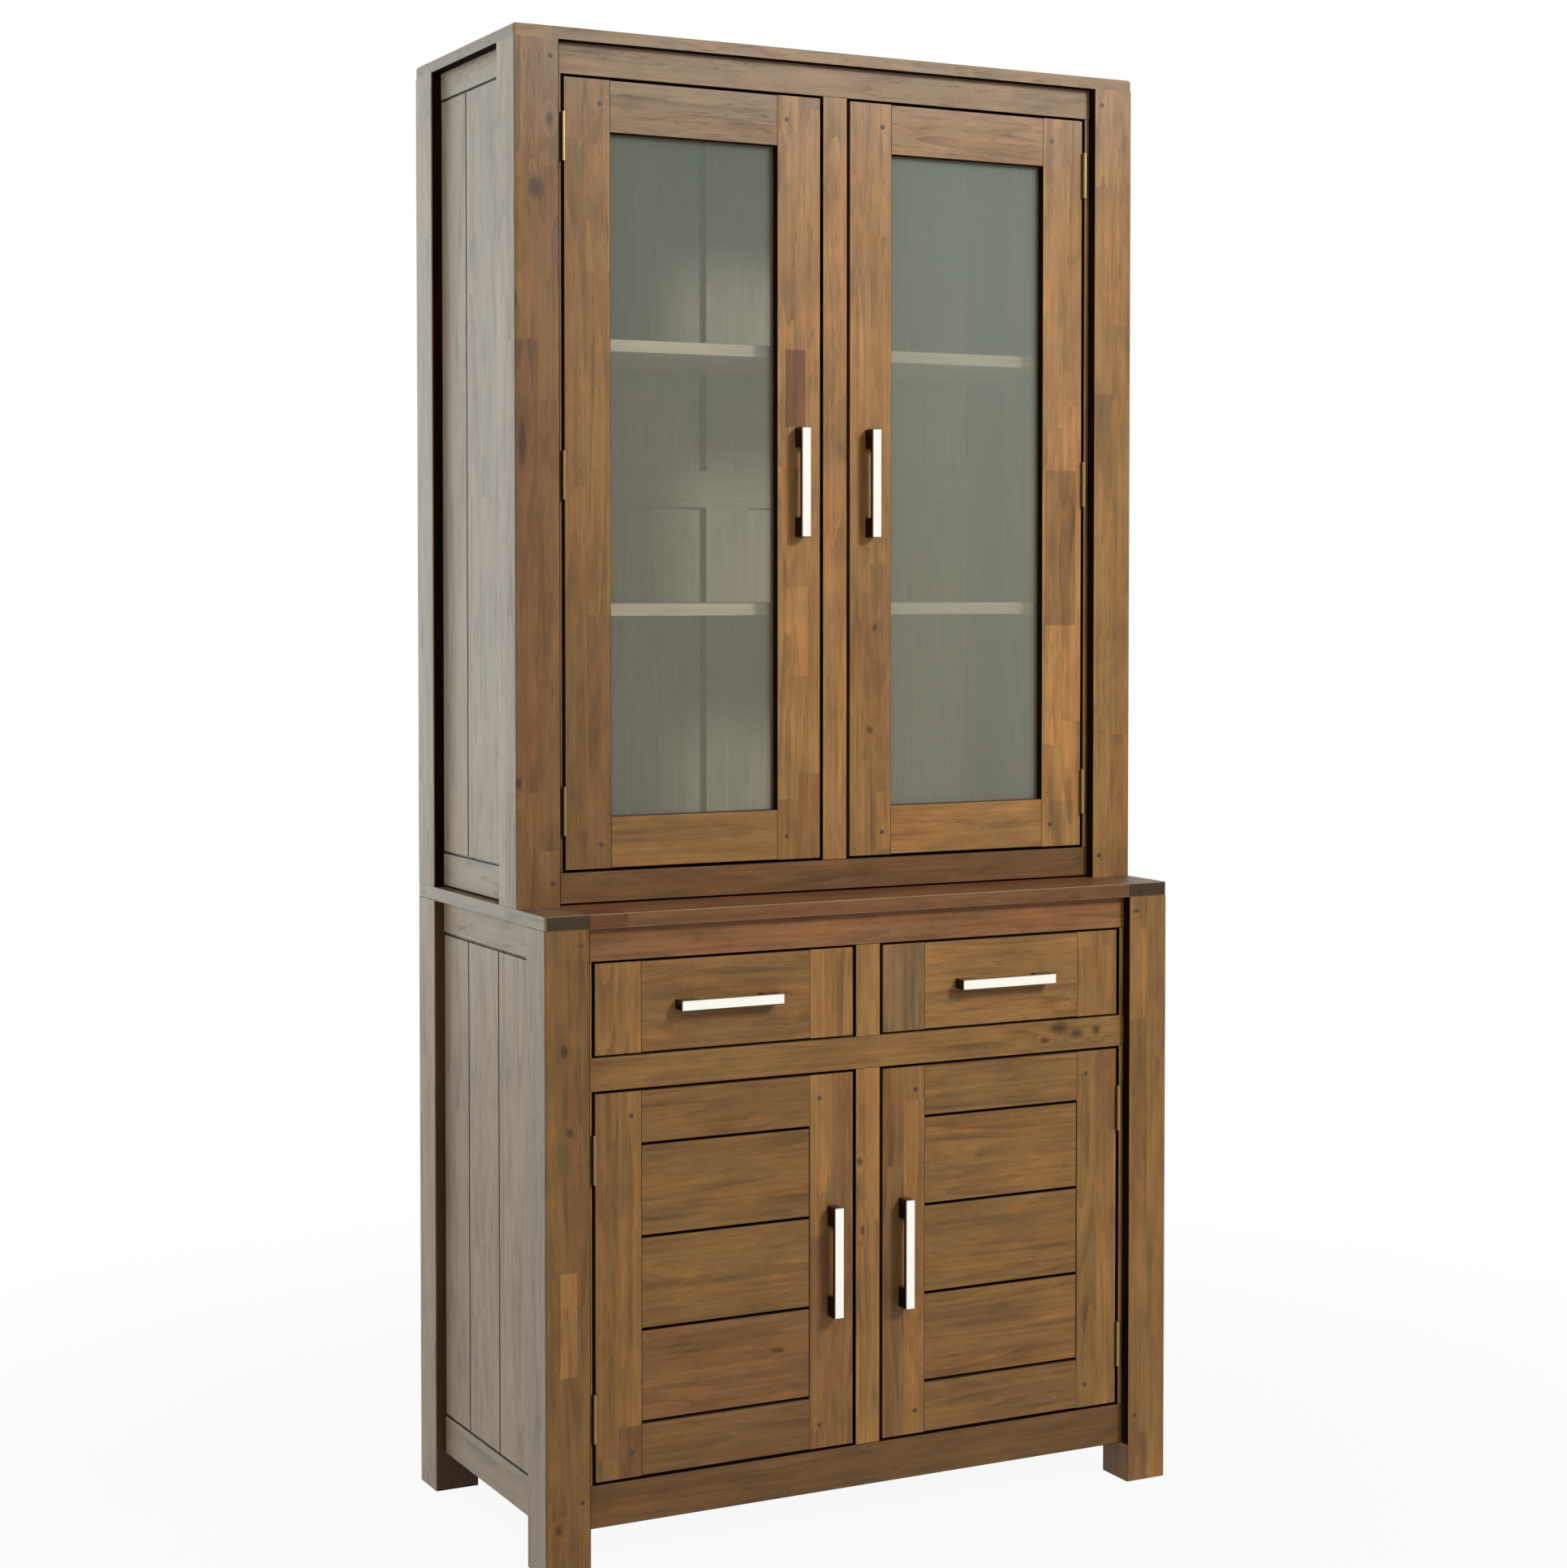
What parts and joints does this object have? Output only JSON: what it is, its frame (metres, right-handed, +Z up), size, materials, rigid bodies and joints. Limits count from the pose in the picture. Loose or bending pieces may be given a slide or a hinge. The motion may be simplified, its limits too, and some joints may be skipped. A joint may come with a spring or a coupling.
{
  "type": "dresser with hutch",
  "caption": "Solid-wood display dresser: a glazed hutch with shelves on a base with drawers and doors.",
  "frame": {"origin": "on the floor, under the centre of the bounding box with the handles", "axes": "+X to the right of someone who faces the doors, +Y to the back, +Z up"},
  "size_m": [0.905, 0.453, 1.9],
  "materials": {
    "hutch_wood": "satin lacquer on brown-stained hardwood",
    "base_wood": "satin lacquer on brown-stained hardwood, darker",
    "thin_board": "veneered thin board",
    "runner_wood": "plain planed wood",
    "glass": "clear",
    "handle_metal": "satin nickel",
    "hinge_brass": "plain brass",
    "pin_metal": "zinc plated",
    "catch_plastic": "brown plastic"
  },
  "bodies": {
    "cabinet": {"hutch_post_front_left": "hutch_wood", "hutch_post_rear_left": "hutch_wood", "base_post_front_left": "base_wood", "base_post_rear_left": "base_wood", "hutch_post_front_right": "hutch_wood", "hutch_post_rear_right": "hutch_wood", "base_post_front_right": "base_wood", "base_post_rear_right": "base_wood", "hutch_top_board": "hutch_wood", "hutch_front_rails": "hutch_wood", "hutch_front_stiles": "hutch_wood", "hutch_side_rails": "hutch_wood", "hutch_side_planks": "hutch_wood", "hutch_back_frame": "hutch_wood", "hutch_floor": "hutch_wood", "hutch_shelves": "hutch_wood", "base_top_board": "base_wood", "base_top_ends": "base_wood", "base_front_rails": "base_wood", "base_front_stiles": "base_wood", "base_side_rails": "base_wood", "base_side_planks": "base_wood", "base_back": "base_wood", "base_floor": "base_wood", "base_shelf": "base_wood", "hutch_back_boards": "thin_board", "drawer_runners": "runner_wood", "hutch_dowels": "runner_wood", "shelf_pins": "pin_metal", "hinge_frame_leaves": "hinge_brass", "door_catches": "catch_plastic"},
    "glazed_door_left": {"glazed_door_stiles_left": "hutch_wood", "glazed_door_rails_left": "hutch_wood", "glazed_door_beads_left": "hutch_wood", "glazed_door_glass_left": "glass", "glazed_door_handle_left": "handle_metal", "glazed_door_fittings_left": "hinge_brass"},
    "base_door_left": {"base_door_stiles_left": "base_wood", "base_door_rails_left": "base_wood", "base_door_slats_left": "base_wood", "base_door_handle_left": "handle_metal", "base_door_fittings_left": "hinge_brass"},
    "drawer_left": {"drawer_front_left": "base_wood", "drawer_box_left": "runner_wood", "drawer_handle_left": "handle_metal"},
    "glazed_door_right": {"glazed_door_stiles_right": "hutch_wood", "glazed_door_rails_right": "hutch_wood", "glazed_door_beads_right": "hutch_wood", "glazed_door_glass_right": "glass", "glazed_door_handle_right": "handle_metal", "glazed_door_fittings_right": "hinge_brass"},
    "base_door_right": {"base_door_stiles_right": "base_wood", "base_door_rails_right": "base_wood", "base_door_slats_right": "base_wood", "base_door_handle_right": "handle_metal", "base_door_fittings_right": "hinge_brass"},
    "drawer_right": {"drawer_front_right": "base_wood", "drawer_box_right": "runner_wood", "drawer_handle_right": "handle_metal"}
  },
  "joints": [
    {"name": "glazed_door_left_hinge", "type": "hinge", "parent": "cabinet", "child": "glazed_door_left", "pos_m": [-0.38325, -0.1179, 1.34775], "axis": [0, 0, -1], "range_deg": [0, 110]},
    {"name": "base_door_left_hinge", "type": "hinge", "parent": "cabinet", "child": "base_door_left", "pos_m": [-0.38325, -0.2089, 0.347], "axis": [0, 0, -1], "range_deg": [0, 110]},
    {"name": "drawer_left_slide", "type": "slide", "parent": "cabinet", "child": "drawer_left", "axis": [0, -1, 0], "range_m": [0, 0.26]},
    {"name": "glazed_door_right_hinge", "type": "hinge", "parent": "cabinet", "child": "glazed_door_right", "pos_m": [0.38325, -0.1179, 1.34775], "axis": [0, 0, 1], "range_deg": [0, 110]},
    {"name": "base_door_right_hinge", "type": "hinge", "parent": "cabinet", "child": "base_door_right", "pos_m": [0.38325, -0.2089, 0.347], "axis": [0, 0, 1], "range_deg": [0, 110]},
    {"name": "drawer_right_slide", "type": "slide", "parent": "cabinet", "child": "drawer_right", "axis": [0, -1, 0], "range_m": [0, 0.26]}
  ]
}
